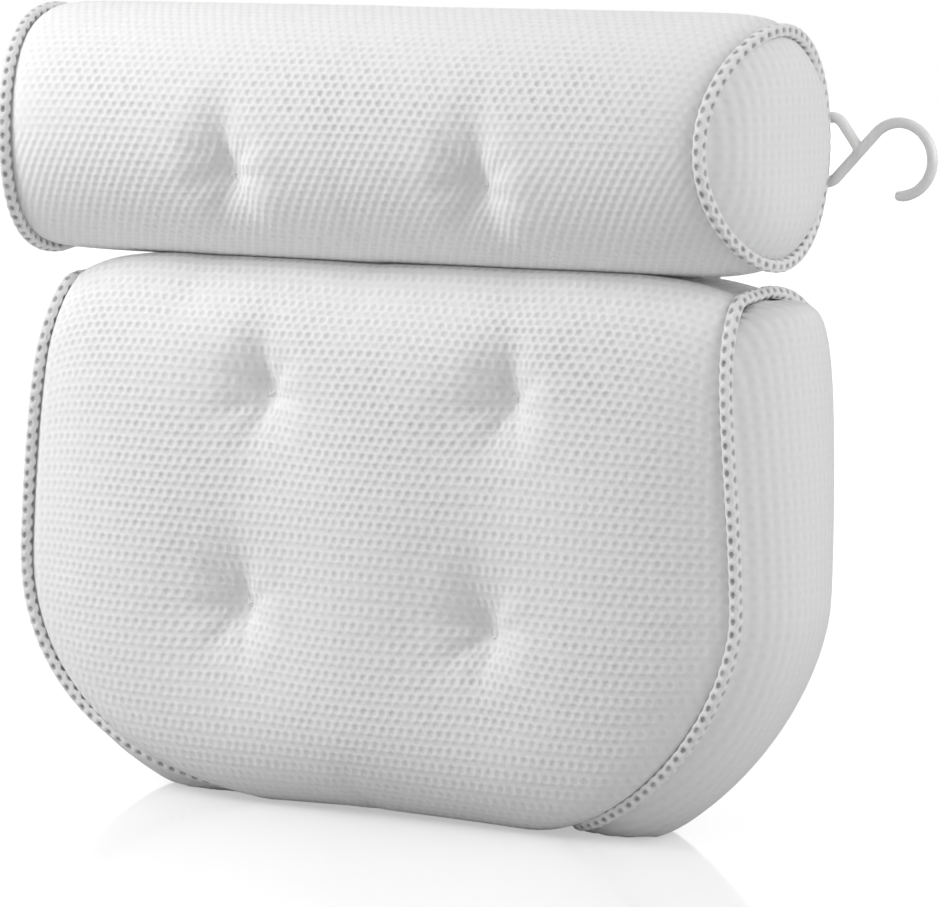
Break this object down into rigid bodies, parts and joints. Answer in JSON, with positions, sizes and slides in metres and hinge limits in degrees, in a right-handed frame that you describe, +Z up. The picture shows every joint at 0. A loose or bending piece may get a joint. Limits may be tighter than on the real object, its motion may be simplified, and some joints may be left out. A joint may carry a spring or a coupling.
{
  "type": "bath pillow",
  "caption": "Folding bath pillow of white spacer mesh: a tufted neck roll hinged on a tufted back cushion, with suction cups behind and a hanging hook at one end.",
  "frame": {"origin": "middle of the flat foot that the cushion stands on", "axes": "+Z up, +X to the right along the roll seen from the front, -Y out of the front, suction cups facing +Y"},
  "size_m": [0.4558, 0.1326, 0.3743],
  "materials": {
    "mesh": "white knitted spacer mesh with a hexagonal net face",
    "binding": "folded edge of the same mesh",
    "fibre": "loose polyester fibre",
    "thread": "twisted white sewing thread",
    "plastic": "moulded white plastic",
    "vinyl": "clear soft vinyl",
    "webbing": "woven white tape"
  },
  "bodies": {
    "cushion": {"cushion_cover": "mesh", "cushion_back_panel": "mesh", "cushion_filling": "fibre", "cushion_end_panel_left": "mesh", "cushion_end_panel_right": "mesh", "cushion_binding_left": "binding", "cushion_binding_right": "binding", "cushion_tuft_thread_upper_left": "thread", "cushion_tuft_thread_upper_right": "thread", "cushion_tuft_thread_lower_left": "thread", "cushion_tuft_thread_lower_right": "thread", "cushion_lower_left_eyelet": "plastic", "cushion_lower_right_eyelet": "plastic", "cushion_upper_left_eyelet": "plastic", "cushion_upper_right_eyelet": "plastic", "hinge_strip_lower": "webbing"},
    "roll": {"roll_cover": "mesh", "roll_back_panel": "mesh", "roll_filling": "fibre", "roll_end_panel_left": "mesh", "roll_end_panel_right": "mesh", "roll_binding_left": "binding", "roll_binding_right": "binding", "roll_tuft_thread_left": "thread", "roll_tuft_thread_right": "thread", "roll_left_eyelet": "plastic", "roll_right_eyelet": "plastic", "hinge_strip_upper": "webbing", "hook_webbing_loop": "webbing"},
    "hook": {"hanging_hook": "plastic"},
    "lower_left_cup": {"cushion_lower_left_cup": "vinyl"},
    "lower_right_cup": {"cushion_lower_right_cup": "vinyl"},
    "upper_left_cup": {"cushion_upper_left_cup": "vinyl"},
    "upper_right_cup": {"cushion_upper_right_cup": "vinyl"},
    "roll_left_cup": {"roll_left_cup": "vinyl"},
    "roll_right_cup": {"roll_right_cup": "vinyl"}
  },
  "joints": [
    {"name": "roll_fold", "type": "hinge", "parent": "cushion", "child": "roll", "pos_m": [0, 0.053, 0.25515], "axis": [-1, 0, 0], "range_deg": [0, 135]},
    {"name": "hook_swing", "type": "hinge", "parent": "roll", "child": "hook", "pos_m": [0.182, 0.0488, 0.311], "axis": [0, 0, 1], "range_deg": [0, 170]},
    {"name": "lower_left_cup_turn", "type": "hinge", "parent": "cushion", "child": "lower_left_cup", "pos_m": [-0.11, 0.055, 0.062], "axis": [0, 1, 0], "continuous": true},
    {"name": "lower_right_cup_turn", "type": "hinge", "parent": "cushion", "child": "lower_right_cup", "pos_m": [0.11, 0.055, 0.062], "axis": [0, 1, 0], "continuous": true},
    {"name": "upper_left_cup_turn", "type": "hinge", "parent": "cushion", "child": "upper_left_cup", "pos_m": [-0.11, 0.055, 0.186], "axis": [0, 1, 0], "continuous": true},
    {"name": "upper_right_cup_turn", "type": "hinge", "parent": "cushion", "child": "upper_right_cup", "pos_m": [0.11, 0.055, 0.186], "axis": [0, 1, 0], "continuous": true},
    {"name": "roll_left_cup_turn", "type": "hinge", "parent": "roll", "child": "roll_left_cup", "pos_m": [-0.09, 0.055, 0.3148], "axis": [0, 1, 0], "continuous": true},
    {"name": "roll_right_cup_turn", "type": "hinge", "parent": "roll", "child": "roll_right_cup", "pos_m": [0.09, 0.055, 0.3148], "axis": [0, 1, 0], "continuous": true}
  ]
}
